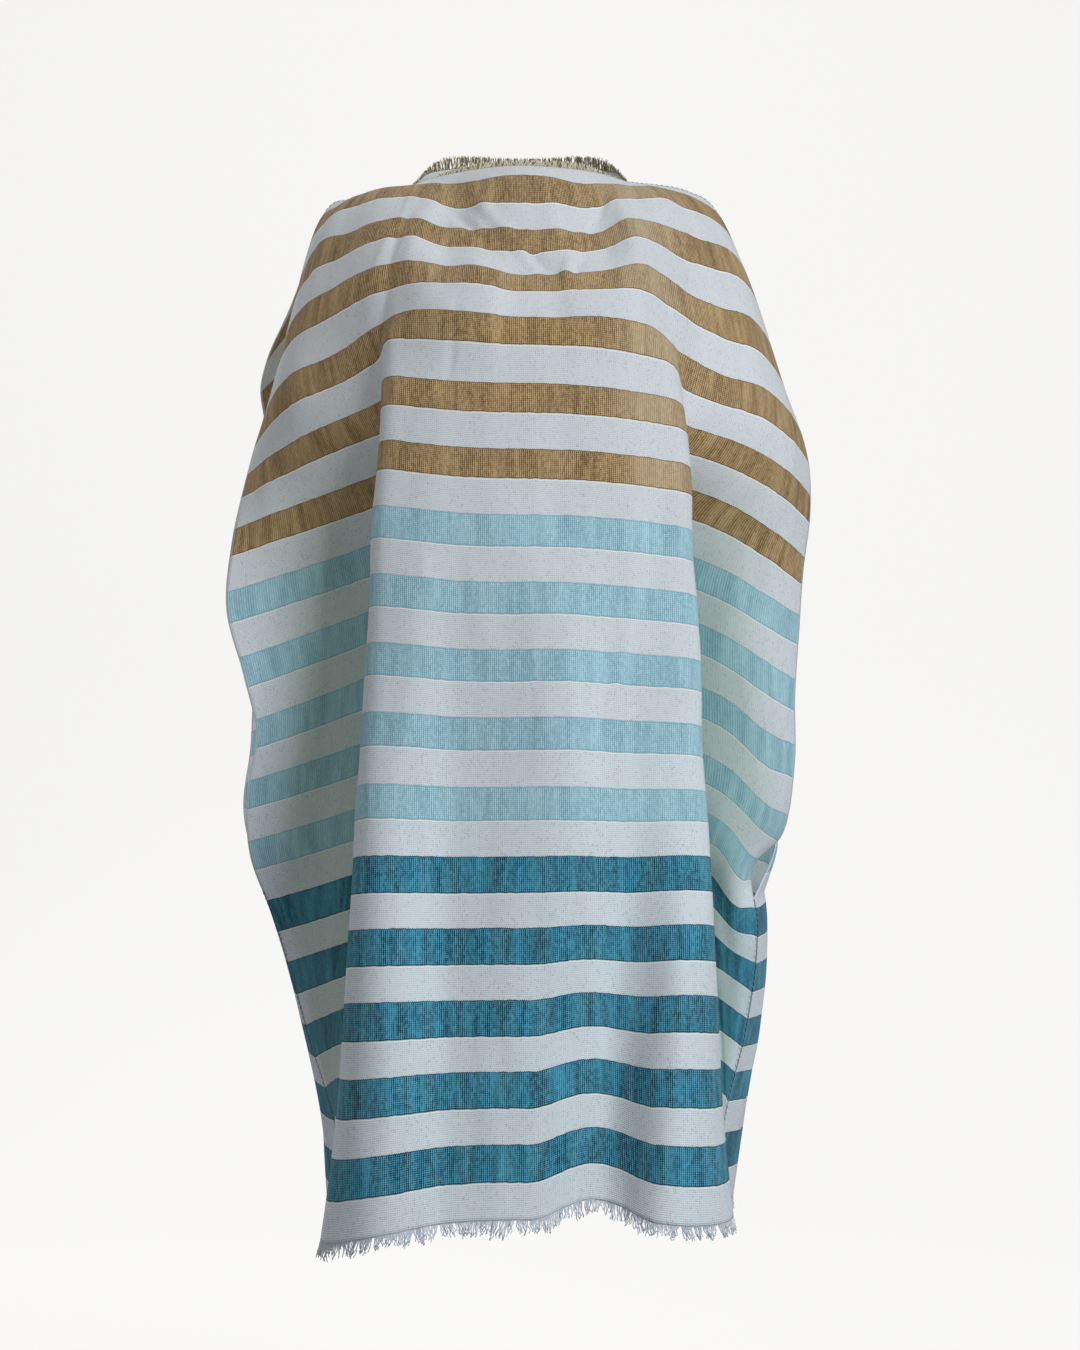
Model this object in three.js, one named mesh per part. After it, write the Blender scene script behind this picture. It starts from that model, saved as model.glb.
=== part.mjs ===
// A beach poncho: two hand-woven rectangles of striped cotton, sewn together along both
// shoulders and below both armholes, in the hollow form it takes when it is worn.
//
// Millimetres. +Z is up and the front faces -Y. Left (-X) and right (+X) are as seen from
// the front. The origin is midway between the shoulders, level with the shoulder ridge
// beside the neck, where the wearer holds the poncho up.

import * as THREE from 'three';

// ---- Sizes that the cloth is cut to ----
const PANEL_WIDTH = 810;
const PANEL_LENGTH = 1148; // neck edge to hem, without the fringe
const NECK_SLIT = 340; // left unsewn between the shoulder seams
const ARMHOLE_DEPTH = 785; // left unsewn below each shoulder
const HEM_FRINGE = 20;
const NECK_FRINGE = 16;
const WALL = 1.6; // thickness of the cloth
const SEAM_GAP = 0.3; // between one panel and the other
const FRINGE_GAP = 0.42; // between a panel and its fringe, which can run askew to its edge

const HALF_WIDTH = PANEL_WIDTH / 2;
const HALF_SLIT = NECK_SLIT / 2;

// A table is a list of rows, each at a distance down the cloth from the neck edge.
function table(columns, rows) {
  return rows.map((row) => Object.fromEntries(columns.map((name, i) => [name, row[i]])));
}

// ---- How the front panel hangs ----
// Its middle line: how far in front of the origin, and how high.
const FRONT_MIDDLE = table(['down', 'forward', 'height'], [
  [0, 85, -8],
  [30, 101, -31],
  [65, 120, -67],
  [135, 152, -127],
  [200, 183, -181],
  [240, 200, -215],
  [310, 211, -288],
  [395, 218, -373],
  [535, 226, -512],
  [675, 230, -648],
  [815, 232, -786],
  [955, 234, -924],
  [1050, 236, -1016],
  [1148, 238, -1113],
]);

// Each half of a row runs from the middle to a crease, tucks in behind it, then sweeps out
// and back as a wing to the selvedge. crease*: from the middle to the crease. tuck*: how the
// cloth doubles back there. edge*: where the selvedge is, out and back from the origin and
// below the middle. bow and lift: how far the wing swells outwards and upwards on its way.
const SIDE_COLUMNS = [
  'down', 'creaseOut', 'creaseBack', 'creaseRise', 'tuckIn', 'tuckBack', 'tuckDrop',
  'edgeOut', 'edgeBack', 'edgeDrop', 'bow', 'lift',
];
const LEFT_SIDE = table(SIDE_COLUMNS, [
  [0, 125, 90, 14, 0, 0, 0, 246, 45, 62, 12, 32],
  [65, 136, 72, 33, 0, 0, 0, 258, 52, 58, 26, 38],
  [135, 144, 56, 28, 0, 0, 0, 270, 46, 60, 30, 30],
  [200, 148, 46, 22, 0, 0, 0, 284, 30, 64, 30, 16],
  [255, 149, 38, 20, 2, 12, 12, 296, 6, 60, 26, 2],
  [325, 149, 31, 19, 6, 38, 19, 305, -30, 50, 12, 0],
  [395, 152, 28, 19, 14, 72, 19, 312, -66, 50, 0, 0],
  [465, 158, 30, 18, 17, 90, 18, 313, -90, 56, -6, 0],
  [535, 159, 31, 16, 17, 94, 17, 293, -98, 57, -6, 0],
  [605, 162, 33, 13, 16, 92, 17, 279, -90, 53, -6, 0],
  [675, 165, 34, 9, 14, 90, 15, 289, -80, 48, -8, 0],
  [745, 168, 35, 4, 11, 88, 10, 286, -66, 42, -8, 0],
  [815, 171, 36, 0, 8, 84, 8, 264, -42, 35, -4, 0],
  [955, 177, 42, -5, 4, 70, 1, 226, -4, 29, 2, 0],
  [1050, 185, 46, -15, 2, 56, -6, 198, 2, 28, 2, 0],
  [1148, 198, 50, -30, 0, 40, -7, 184, 4, 40, 4, 0],
]);
const RIGHT_SIDE = table(SIDE_COLUMNS, [
  [0, 115, 90, 24, 0, 0, 0, 246, 45, 62, 12, 36],
  [65, 133, 72, 34, 0, 0, 0, 261, 52, 62, 28, 40],
  [135, 147, 56, 24, 0, 0, 0, 282, 46, 66, 32, 30],
  [200, 157, 46, 4, 0, 0, 0, 304, 30, 72, 30, 8],
  [255, 166, 38, -10, 2, 12, 14, 318, 6, 78, 32, 0],
  [325, 173, 32, -10, 6, 38, 14, 316, -26, 76, 33, -4],
  [395, 178, 31, -9, 14, 80, 4, 304, -48, 78, 35, -7],
  [465, 178, 36, -7, 17, 98, 5, 297, -60, 74, 38, -8],
  [535, 183, 37, -6, 17, 102, 5, 291, -62, 76, 38, -8],
  [605, 185, 38, -4, 16, 102, 7, 290, -58, 78, 39, -8],
  [675, 184, 39, -2, 14, 104, 10, 278, -50, 83, 38, -8],
  [745, 187, 40, 0, 11, 110, 2, 243, -62, 55, 30, -4],
  [815, 190, 42, 0, 8, 120, -4, 245, -80, 43, 6, 0],
  [955, 195, 46, -1, 3, 114, -12, 230, -84, 18, 2, 0],
  [1050, 199, 50, -4, 1, 92, -18, 211, -72, 2, 2, 0],
  [1148, 208, 54, -8, 0, 60, -14, 196, -54, 6, 2, 0],
]);

// ---- How the back panel hangs ----
// Its middle line, and where each half of a row turns forward around the shoulder blade.
const BACK_MIDDLE = table(['down', 'backward', 'height', 'turnOut', 'turnForward', 'turnDrop'], [
  [0, 62, 44, 125, 57, 35],
  [40, 82, 14, 138, 42, 38],
  [100, 102, -42, 154, 26, 38],
  [180, 116, -121, 165, 18, 40],
  [325, 126, -265, 170, 16, 42],
  [535, 134, -473, 176, 18, 42],
  [815, 150, -751, 182, 26, 38],
  [1148, 168, -1082, 186, 40, 30],
]);
// The swell of its wings, outwards and upwards.
const BACK_WING = table(['down', 'bowLeft', 'bowRight', 'lift'], [
  [0, 12, 12, 36],
  [60, 24, 24, 38],
  [130, 34, 34, 30],
  [200, 42, 42, 14],
  [325, 48, 48, 0],
  [535, 44, 44, 0],
  [785, 38, 46, 0],
  [955, 30, 46, 0],
  [1148, 26, 36, 0],
]);
// Its selvedges above the side seams, where the armholes are open.
const LEFT_BACK_EDGE = table(['down', 'out', 'back', 'height'], [
  [0, 246, 45, -70],
  [60, 268, 60, -122],
  [130, 295, 67, -184],
  [165, 301, 67, -216],
  [200, 296, 65, -251],
  [255, 290, 61, -306],
  [325, 294, 55, -375],
  [465, 298, 30, -506],
  [605, 296, -2, -634],
  [700, 297, -40, -714],
  [785, 274, -53, -794],
]);
const RIGHT_BACK_EDGE = table(['down', 'out', 'back', 'height'], [
  [0, 246, 45, -70],
  [100, 254, 70, -164],
  [200, 264, 80, -262],
  [325, 278, 79, -384],
  [465, 284, 66, -514],
  [605, 283, 38, -644],
  [700, 276, -6, -726],
  [745, 268, -36, -758],
  [785, 243, -73, -804],
]);

// ---- Soft folds laid over the drape ----
// across and down: the middle of the fold. width and length: half its size each way.
// lean: how far it runs towards +X over its own half length. forward and rise: how far its
// middle moves.
const FOLD_COLUMNS = ['across', 'down', 'width', 'length', 'lean', 'forward', 'rise'];
const FRONT_FOLDS = table(FOLD_COLUMNS, [
  [-162, 120, 80, 140, 20, 20, 8],
  [148, 135, 55, 130, 0, 22, 8],
  [-80, 62, 38, 42, 0, -8, -4],
  [85, 80, 45, 80, 0, -10, -4],
  [-75, 215, 75, 90, 0, 14, 2],
  [95, 215, 65, 80, 0, 14, 3],
  [-50, 180, 40, 50, 0, 6, 2],
  [10, 145, 70, 50, 0, -8, -3],
  [0, 29, 90, 40, 0, 0, 7],
  [-356, 5, 58, 110, 0, 0, 12],
  [351, 0, 54, 90, 0, 0, 6],
  [-215, 38, 120, 55, 0, 0, 7],
  [205, 40, 90, 55, 0, 0, 5],
  [190, 70, 40, 60, 0, 8, 4],
  [-274, 90, 62, 60, 0, 0, 8],
  [-225, 245, 85, 90, 0, -14, -8],
  [222, 205, 75, 130, 0, -14, -8],
  [70, 1188, 62, 420, 0, -10, 18],
  [165, 1190, 62, 260, 0, 0, -6],
  [-126, 830, 58, 560, -10, 10, 0],
  [-58, 840, 48, 480, 0, -5, 0],
  [42, 690, 62, 300, 8, 9, 0],
  [112, 740, 50, 300, 0, -7, 0],
  [160, 1020, 80, 340, -20, 42, 6],
  [98, 1040, 50, 330, -30, -14, 0],
  [-150, 1010, 75, 470, 0, 34, 0],
  [372, 790, 34, 120, 0, 0, -13],
  [362, 630, 36, 110, 0, 0, -9],
  [98, 611, 9, 62, -14, 2.5, 1],
  [-101, 515, 8, 40, 2, 1.5, 0],
  [-92, 800, 12, 60, 6, 2, 0],
]);
const BACK_FOLDS = table(FOLD_COLUMNS, [
  [-252, 1148, 64, 820, 0, -22, 0],
  [-150, 1148, 60, 900, 0, 20, 0],
  [-62, 1148, 66, 840, 0, -18, 0],
  [14, 1148, 56, 700, 0, 14, 0],
  [88, 1148, 66, 900, 0, -22, 0],
  [172, 1148, 58, 820, 0, 22, 0],
  [262, 1148, 66, 880, 0, -24, 0],
]);

// ---- The grid that the cloth is faceted on ----
const GRID_DOWN = [
  0, 22, 45, 70, 100, 135, 170, 210, 250, 290, 335, 380, 430, 480, 530, 580, 630, 680, 730,
  ARMHOLE_DEPTH, 840, 900, 960, 1020, 1080, PANEL_LENGTH,
];
const MIDDLE_CELLS = 6; // from the middle to just before the crease
const OUTER_CELLS = 7; // from just past the tuck to the selvedge
const NEAR_CREASE = 4; // the grid's closest lines on each side of a fold
const BESIDE_CREASE = 12; // and the next ones
const LEAST_TUCK = 16; // spacing that is kept where there is no tuck
const SLIT_FADE = 100; // the crease line starts at the end of the slit and leaves it here
const NECK_FRINGE_CELLS = 5; // each side of the middle
const SEAM_ROW = GRID_DOWN.indexOf(ARMHOLE_DEPTH);
const HALF_CELLS = MIDDLE_CELLS + 5 + OUTER_CELLS;
const SLIT_CELL = MIDDLE_CELLS + 2; // the grid line that meets the end of the slit

// ---- Roundness of the drape ----
const SOFT_CORNER = 70; // rounding of a row where it has no tuck
const CREASE_CORNER = 24; // and at a full crease, where it turns in
const TUCK_CORNER = 12; // and behind it, where it turns out again
const FULL_TUCK = 20; // length of a tuck that makes a full crease
const BACK_CORNER = 45;
const SHOULDER_FADE = 220; // how far down the back follows the shoulder seam
const SLIT_END = 60; // length of the neck edge that bends to meet the seam
const WING_CREST = 6.75; // makes the highest point of a lift equal to 1

const plus = (a, b, scale = 1) => a.clone().addScaledVector(b, scale);
const minus = (a, b) => a.clone().sub(b);
const point = (x, y, z) => new THREE.Vector3(x, y, z);
const clamp = THREE.MathUtils.clamp;

// A column of a table, read on a smooth curve through its rows.
function reading(rows, name, down) {
  const last = rows.length - 1;
  const next = rows.findIndex((row) => row.down > down);
  const at = next === -1 ? last - 1 : Math.max(next - 1, 0);
  const span = (k) => rows[k + 1].down - rows[k].down;
  const slope = (k) => (rows[k + 1][name] - rows[k][name]) / span(k);
  const tangent = (k) => {
    if (k === 0) return slope(0);
    if (k === last) return slope(last - 1);
    return (slope(k - 1) * span(k) + slope(k) * span(k - 1)) / (span(k - 1) + span(k));
  };
  const t = (down - rows[at].down) / span(at);
  const ease = t * t * (3 - 2 * t);
  const leave = t * (1 - t) * (1 - t) * span(at);
  const arrive = t * t * (t - 1) * span(at);
  return (
    rows[at][name] * (1 - ease) + rows[at + 1][name] * ease +
    tangent(at) * leave + tangent(at + 1) * arrive
  );
}

// Distance past a corner, which is rounded over `radius` each way.
function pastCorner(distance, radius) {
  if (distance <= -radius) return 0;
  if (distance >= radius) return distance;
  return (distance + radius) ** 2 / (4 * radius);
}

// A hump that is 1 at its middle and 0 from one half width on.
function hump(x) {
  return Math.abs(x) < 1 ? (1 - x * x) ** 2 : 0;
}

function addFolds(place, folds, across, down) {
  for (const fold of folds) {
    const along = (down - fold.down) / fold.length;
    const size = hump((across - fold.across - fold.lean * along) / fold.width) * hump(along);
    place.y -= fold.forward * size;
    place.z += fold.rise * size;
  }
  return place;
}

// The cloth from the middle of the front to its crease, and in the tuck behind it.
function creaseLength(side, down) {
  const out = reading(side, 'creaseOut', down);
  return out + (0.6 * reading(side, 'creaseBack', down) ** 2) / out;
}

function tuckOf(side, down) {
  return point(
    -Math.max(reading(side, 'tuckIn', down), 0),
    Math.max(reading(side, 'tuckBack', down), 0),
    -reading(side, 'tuckDrop', down),
  );
}

// The front panel's selvedge, on its own side of the middle.
function frontEdge(side, down) {
  return point(
    reading(side, 'edgeOut', down),
    reading(side, 'edgeBack', down),
    reading(FRONT_MIDDLE, 'height', down) - reading(side, 'edgeDrop', down),
  );
}

// Swells a wing that runs from `start` to `end`: outwards in plan, and upwards.
function swell(place, start, end, along, bow, lift) {
  const run = minus(end, start);
  const outwards = point(run.y, -run.x, 0).normalize();
  place.addScaledVector(outwards, bow * 4 * along * (1 - along));
  place.z += lift * WING_CREST * along * along * (1 - along);
}

// A point on the outside of the front panel.
function frontPoint(across, down) {
  const side = across < 0 ? LEFT_SIDE : RIGHT_SIDE;
  const away = Math.abs(across);
  const middle = point(0, -reading(FRONT_MIDDLE, 'forward', down), reading(FRONT_MIDDLE, 'height', down));
  const crease = point(
    reading(side, 'creaseOut', down),
    reading(side, 'creaseBack', down),
    reading(side, 'creaseRise', down),
  );
  const toCrease = creaseLength(side, down);
  const tuck = tuckOf(side, down);
  const tuckLength = tuck.length();
  const start = plus(crease, tuck);
  const end = minus(frontEdge(side, down), middle);
  const wingLength = HALF_WIDTH - toCrease - tuckLength;

  const chest = Math.min(away / toCrease, 1);
  const leaving = point(crease.x, 2 * crease.y, 2 * crease.z).divideScalar(toCrease);
  const tucking = tuckLength > 0 ? tuck.clone().normalize() : leaving.clone();
  const winging = minus(end, start).divideScalar(wingLength);
  const sharp = clamp(tuckLength / FULL_TUCK, 0, 1);
  const creaseRadius = SOFT_CORNER + (CREASE_CORNER - SOFT_CORNER) * sharp;
  const tuckRadius = SOFT_CORNER + (TUCK_CORNER - SOFT_CORNER) * sharp;

  const place = point(crease.x * chest, crease.y * chest ** 2, crease.z * chest ** 2);
  place.addScaledVector(leaving, Math.max(away - toCrease, 0));
  place.addScaledVector(minus(tucking, leaving), pastCorner(away - toCrease, creaseRadius));
  place.addScaledVector(minus(winging, tucking), pastCorner(away - toCrease - tuckLength, tuckRadius));
  const along = clamp((away - toCrease - tuckLength) / wingLength, 0, 1);
  swell(place, start, end, along, reading(side, 'bow', down), reading(side, 'lift', down));
  place.add(middle);
  place.x *= Math.sign(across);
  return addFolds(place, FRONT_FOLDS, across, down);
}

// The back panel before it is fitted to the shoulder seam.
function backDrape(across, down) {
  const side = across < 0 ? LEFT_SIDE : RIGHT_SIDE;
  const edge = across < 0 ? LEFT_BACK_EDGE : RIGHT_BACK_EDGE;
  const bow = reading(BACK_WING, across < 0 ? 'bowLeft' : 'bowRight', down);
  const away = Math.abs(across);
  const middle = point(0, reading(BACK_MIDDLE, 'backward', down), reading(BACK_MIDDLE, 'height', down));
  const turn = point(
    reading(BACK_MIDDLE, 'turnOut', down),
    reading(BACK_MIDDLE, 'turnForward', down),
    -reading(BACK_MIDDLE, 'turnDrop', down),
  );
  const toTurn = turn.x + (0.6 * turn.y ** 2 + 0.45 * turn.z ** 2) / turn.x;
  const sewn = down >= ARMHOLE_DEPTH;
  const selvedge = sewn
    ? frontEdge(side, down)
    : point(reading(edge, 'out', down), reading(edge, 'back', down), reading(edge, 'height', down));
  const end = point(selvedge.x, middle.y - selvedge.y, selvedge.z - middle.z);
  const wingLength = HALF_WIDTH - toTurn;

  const shoulder = Math.min(away / toTurn, 1);
  const leaving = point(turn.x, 2 * turn.y, 4 * turn.z).divideScalar(toTurn);
  const winging = minus(end, turn).divideScalar(wingLength);
  const place = point(turn.x * shoulder, turn.y * shoulder ** 2, turn.z * shoulder ** 4);
  place.addScaledVector(leaving, Math.max(away - toTurn, 0));
  place.addScaledVector(minus(winging, leaving), pastCorner(away - toTurn, BACK_CORNER));
  const along = clamp((away - toTurn) / wingLength, 0, 1);
  swell(place, turn, end, along, bow, reading(BACK_WING, 'lift', down));
  place.set(place.x * Math.sign(across), middle.y - place.y, middle.z + place.z);
  return addFolds(place, BACK_FOLDS, across, down);
}

// A point on the outside of the back panel. Its top edge follows the front's shoulder seam.
function backPoint(across, down) {
  const place = backDrape(across, down);
  const away = Math.abs(across);
  if (down >= SHOULDER_FADE || away < HALF_SLIT - SLIT_END) return place;
  const seamAt = Math.sign(across) * Math.max(away, HALF_SLIT);
  const shift = minus(frontPoint(seamAt, 0), backDrape(seamAt, 0));
  const reach = THREE.MathUtils.smoothstep(away, HALF_SLIT - SLIT_END, HALF_SLIT);
  return plus(place, shift, reach * (1 - down / SHOULDER_FADE) ** 2);
}

// Distances across one half of a row, from the middle to the selvedge. The grid's lines
// follow the crease, and one of them meets the end of the neck slit.
function gridAcross(side, down) {
  const slide = (HALF_SLIT - NEAR_CREASE - creaseLength(side, 0)) * Math.max(0, 1 - down / SLIT_FADE);
  const crease = creaseLength(side, down) + slide;
  const tucked = crease + Math.max(tuckOf(side, down).length(), LEAST_TUCK);
  const marks = [];
  for (let k = 0; k <= MIDDLE_CELLS; k += 1) {
    marks.push(((crease - BESIDE_CREASE) * k) / MIDDLE_CELLS);
  }
  marks.push(crease - NEAR_CREASE, crease + NEAR_CREASE, tucked - NEAR_CREASE, tucked + NEAR_CREASE);
  const outer = tucked + BESIDE_CREASE;
  for (let k = 0; k <= OUTER_CELLS; k += 1) {
    marks.push(outer + ((HALF_WIDTH - outer) * k) / OUTER_CELLS);
  }
  return marks;
}

function panelGrid(pointAt) {
  return GRID_DOWN.map((down) => {
    const left = gridAcross(LEFT_SIDE, down).slice(1).reverse().map((away) => -away);
    const row = [...left, ...gridAcross(RIGHT_SIDE, down)];
    return row.map((across) => pointAt(across, down));
  });
}

// Two triangles for four corners, split from the first to the third whichever way they face.
function quadFaces([a, b, c, d], facing) {
  return facing > 0 ? [a, b, c, a, c, d] : [a, c, b, a, d, c];
}

// Triangles of a grid of points, wound to face along `facing` (+1 or -1 times across x down).
function gridFaces(grid, first, facing) {
  const faces = [];
  const columns = grid[0].length;
  for (let r = 0; r + 1 < grid.length; r += 1) {
    for (let c = 0; c + 1 < columns; c += 1) {
      const a = first + r * columns + c;
      faces.push(...quadFaces([a, a + 1, a + columns + 1, a + columns], facing));
    }
  }
  return faces;
}

function meshOf(points, faces) {
  const geometry = new THREE.BufferGeometry();
  geometry.setAttribute('position', new THREE.Float32BufferAttribute(points.flatMap((p) => p.toArray()), 3));
  geometry.setIndex(faces);
  geometry.computeVertexNormals();
  return geometry;
}

// The direction out of the cloth at each point of a grid.
function gridNormals(grid, facing) {
  const normals = meshOf(grid.flat(), gridFaces(grid, 0, facing)).getAttribute('normal');
  const columns = grid[0].length;
  return grid.map((row, r) => row.map((_, c) => point().fromBufferAttribute(normals, r * columns + c)));
}

// A closed wall between an outer and an inner grid of points.
function wall(outer, inner, facing) {
  const rows = outer.length;
  const columns = outer[0].length;
  const inside = rows * columns;
  const faces = [...gridFaces(outer, 0, facing), ...gridFaces(inner, inside, -facing)];
  const rim = [];
  for (let c = 0; c < columns; c += 1) rim.push(c);
  for (let r = 1; r < rows; r += 1) rim.push(r * columns + columns - 1);
  for (let c = columns - 2; c >= 0; c -= 1) rim.push((rows - 1) * columns + c);
  for (let r = rows - 2; r > 0; r -= 1) rim.push(r * columns);
  rim.forEach((a, k) => {
    const b = rim[(k + 1) % rim.length];
    faces.push(...quadFaces([b, a, a + inside, b + inside], facing));
  });
  return meshOf([...outer.flat(), ...inner.flat()], faces);
}

// ---- The two panels, sewn edge to edge ----
const FRONT = { grid: panelGrid(frontPoint), facing: -1 };
const BACK = { grid: panelGrid(backPoint), facing: 1 };
for (const panel of [FRONT, BACK]) {
  panel.normals = gridNormals(panel.grid, panel.facing);
  panel.outer = panel.grid.map((row) => row.map((p) => p.clone()));
  panel.inner = panel.grid.map((row, r) => row.map((p, c) => plus(p, panel.normals[r][c], -WALL)));
}

// Mitres both panels where they meet, so that they are SEAM_GAP apart through the whole wall.
// inwards: the step from a point on the seam to the next point inside its panel.
function sewPoint(r, c, along, inwards) {
  const [nextR, nextC] = [r + along[0], c + along[1]];
  const tangent = minus(FRONT.grid[nextR][nextC], FRONT.grid[r][c]).normalize();
  const middle = plus(FRONT.normals[r][c], BACK.normals[r][c]);
  middle.addScaledVector(tangent, -middle.dot(tangent)).normalize();
  for (const panel of [FRONT, BACK]) {
    const here = panel.grid[r][c];
    const within = minus(panel.grid[r + inwards[0]][c + inwards[1]], here);
    within.addScaledVector(tangent, -within.dot(tangent));
    within.addScaledVector(middle, -within.dot(middle)).normalize();
    const depth = WALL / Math.max(middle.dot(panel.normals[r][c]), 0.5);
    panel.outer[r][c] = plus(here, within, SEAM_GAP / 2);
    panel.inner[r][c] = plus(panel.outer[r][c], middle, -depth);
  }
}

const LAST_ROW = GRID_DOWN.length - 1;
const LAST_COLUMN = 2 * HALF_CELLS;
for (let k = SLIT_CELL; k <= HALF_CELLS; k += 1) {
  const towards = k === HALF_CELLS ? -1 : 1;
  sewPoint(0, HALF_CELLS - k, [0, -towards], [1, 0]);
  sewPoint(0, HALF_CELLS + k, [0, towards], [1, 0]);
}
// Just inside the slit's ends the walls lean as they do at the seam, so that they stay apart.
for (const c of [HALF_CELLS - SLIT_CELL + 1, HALF_CELLS + SLIT_CELL - 1]) {
  const lean = plus(FRONT.normals[0][c], BACK.normals[0][c]).normalize();
  for (const panel of [FRONT, BACK]) {
    panel.inner[0][c] = plus(panel.outer[0][c], lean, -WALL);
  }
}
for (let r = SEAM_ROW; r <= LAST_ROW; r += 1) {
  const towards = r === LAST_ROW ? -1 : 1;
  sewPoint(r, 0, [towards, 0], [0, 1]);
  sewPoint(r, LAST_COLUMN, [towards, 0], [0, -1]);
}

// ---- The fringes: loose warp ends that carry on from an edge, as a plain strip each ----
// The strip starts past a gap and takes the thickness that the cloth has at its edge.
function fringe(panel, edgeRow, rowBefore, reach, fromColumn, toColumn) {
  const strip = (surface) => [FRINGE_GAP, FRINGE_GAP + reach].map((distance) => {
    const row = surface[edgeRow].slice(fromColumn, toColumn + 1);
    return row.map((p, k) => {
      const before = panel.outer[rowBefore][fromColumn + k];
      const onwards = minus(panel.outer[edgeRow][fromColumn + k], before).normalize();
      return plus(p, onwards, distance);
    });
  });
  const facing = edgeRow > rowBefore ? panel.facing : -panel.facing;
  return wall(strip(panel.outer), strip(panel.inner), facing);
}

const clothMaterial = new THREE.MeshStandardMaterial({ color: 0xc9d1dc, roughness: 0.95, metalness: 0 });
const fringeMaterial = new THREE.MeshStandardMaterial({ color: 0xd9d3c4, roughness: 0.95, metalness: 0 });

const group = new THREE.Group();
function addPiece(name, geometry, material) {
  const mesh = new THREE.Mesh(geometry, material.clone());
  mesh.name = name;
  group.add(mesh);
}

const NECK_FROM = HALF_CELLS - NECK_FRINGE_CELLS;
const NECK_TO = HALF_CELLS + NECK_FRINGE_CELLS;
for (const [name, panel] of [['front', FRONT], ['back', BACK]]) {
  addPiece(`${name}_panel`, wall(panel.outer, panel.inner, panel.facing), clothMaterial);
  const hem = fringe(panel, LAST_ROW, LAST_ROW - 1, HEM_FRINGE, 0, LAST_COLUMN);
  addPiece(`hem_fringe_${name}`, hem, fringeMaterial);
  const neck = fringe(panel, 0, 1, NECK_FRINGE, NECK_FROM, NECK_TO);
  addPiece(`neck_fringe_${name}`, neck, fringeMaterial);
}

export default group;
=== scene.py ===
import math

import bpy
import numpy as np
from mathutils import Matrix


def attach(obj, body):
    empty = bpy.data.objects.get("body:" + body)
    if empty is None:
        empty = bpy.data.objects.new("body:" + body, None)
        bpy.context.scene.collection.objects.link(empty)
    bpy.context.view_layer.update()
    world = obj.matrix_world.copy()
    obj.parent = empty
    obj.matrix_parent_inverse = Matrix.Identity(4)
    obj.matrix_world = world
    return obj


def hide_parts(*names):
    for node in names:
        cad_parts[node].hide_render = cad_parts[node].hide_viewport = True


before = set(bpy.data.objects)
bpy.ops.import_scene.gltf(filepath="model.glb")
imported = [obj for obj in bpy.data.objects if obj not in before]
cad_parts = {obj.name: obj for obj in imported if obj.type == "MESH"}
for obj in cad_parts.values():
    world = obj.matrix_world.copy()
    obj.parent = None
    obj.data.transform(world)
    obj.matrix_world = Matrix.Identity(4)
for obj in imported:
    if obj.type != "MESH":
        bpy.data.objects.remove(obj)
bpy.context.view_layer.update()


# ---- The studio ----
# The poncho keeps the form it is worn in and hangs clear of a plain pale paper floor, which
# sweeps up behind it. It is lit by a soft, cool window in front of it and to the right, just
# above its shoulders, and by weaker lamps behind it and to the left.

scene = bpy.context.scene
scene.view_settings.view_transform = "Standard"

camera_data = bpy.data.cameras.new("studio_camera")
camera_data.sensor_fit = "VERTICAL"
camera_data.sensor_height = 36
camera_data.lens = 56.5
camera_data.shift_x = 0.0133
camera = bpy.data.objects.new("studio_camera", camera_data)
camera.location = (0, -2.3, -0.88)
camera.rotation_euler = (math.radians(98), 0, 0)
scene.collection.objects.link(camera)
scene.camera = camera


def paint(name, colour, roughness):
    """A matt material with one plain colour, to build on."""
    material = bpy.data.materials.new(name)
    material.use_nodes = True
    shader = material.node_tree.nodes["Principled BSDF"]
    shader.inputs["Base Color"].default_value = (*colour, 1)
    shader.inputs["Roughness"].default_value = roughness
    shader.inputs["Specular IOR Level"].default_value = 0.2
    return material


FLOOR_HEIGHT = -1.43  # metres, as is the rest of the studio
FLOOR_FRONT = -6.0
SWEEP_START = 2.6  # how far behind the poncho the floor starts to curve up
SWEEP_RADIUS = 1.6
SWEEP_TOP = 5.0
SWEEP_SIDE = 7.0
SWEEP_STEPS = 16

sweep_profile = [(FLOOR_FRONT, FLOOR_HEIGHT), (0.0, FLOOR_HEIGHT)]
for step in range(SWEEP_STEPS + 1):
    turn = math.radians(90 * step / SWEEP_STEPS)
    sweep_profile.append((
        SWEEP_START + SWEEP_RADIUS * math.sin(turn),
        FLOOR_HEIGHT + SWEEP_RADIUS * (1 - math.cos(turn)),
    ))
sweep_profile.append((SWEEP_START + SWEEP_RADIUS, SWEEP_TOP))
sweep_points = [(side, y, z) for y, z in sweep_profile for side in (-SWEEP_SIDE, SWEEP_SIDE)]
sweep_faces = [(2 * k, 2 * k + 1, 2 * k + 3, 2 * k + 2) for k in range(len(sweep_profile) - 1)]
sweep_mesh = bpy.data.meshes.new("floor_sweep")
sweep_mesh.from_pydata(sweep_points, [], sweep_faces)
sweep_mesh.shade_smooth()
sweep_paper = paint("studio_paper", (0.9, 0.895, 0.885), 0.9)
sweep_tree = sweep_paper.node_tree
sweep_shader = sweep_tree.nodes["Principled BSDF"]
sweep_shader.inputs["Emission Color"].default_value = (1, 0.993, 0.978, 1)
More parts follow.
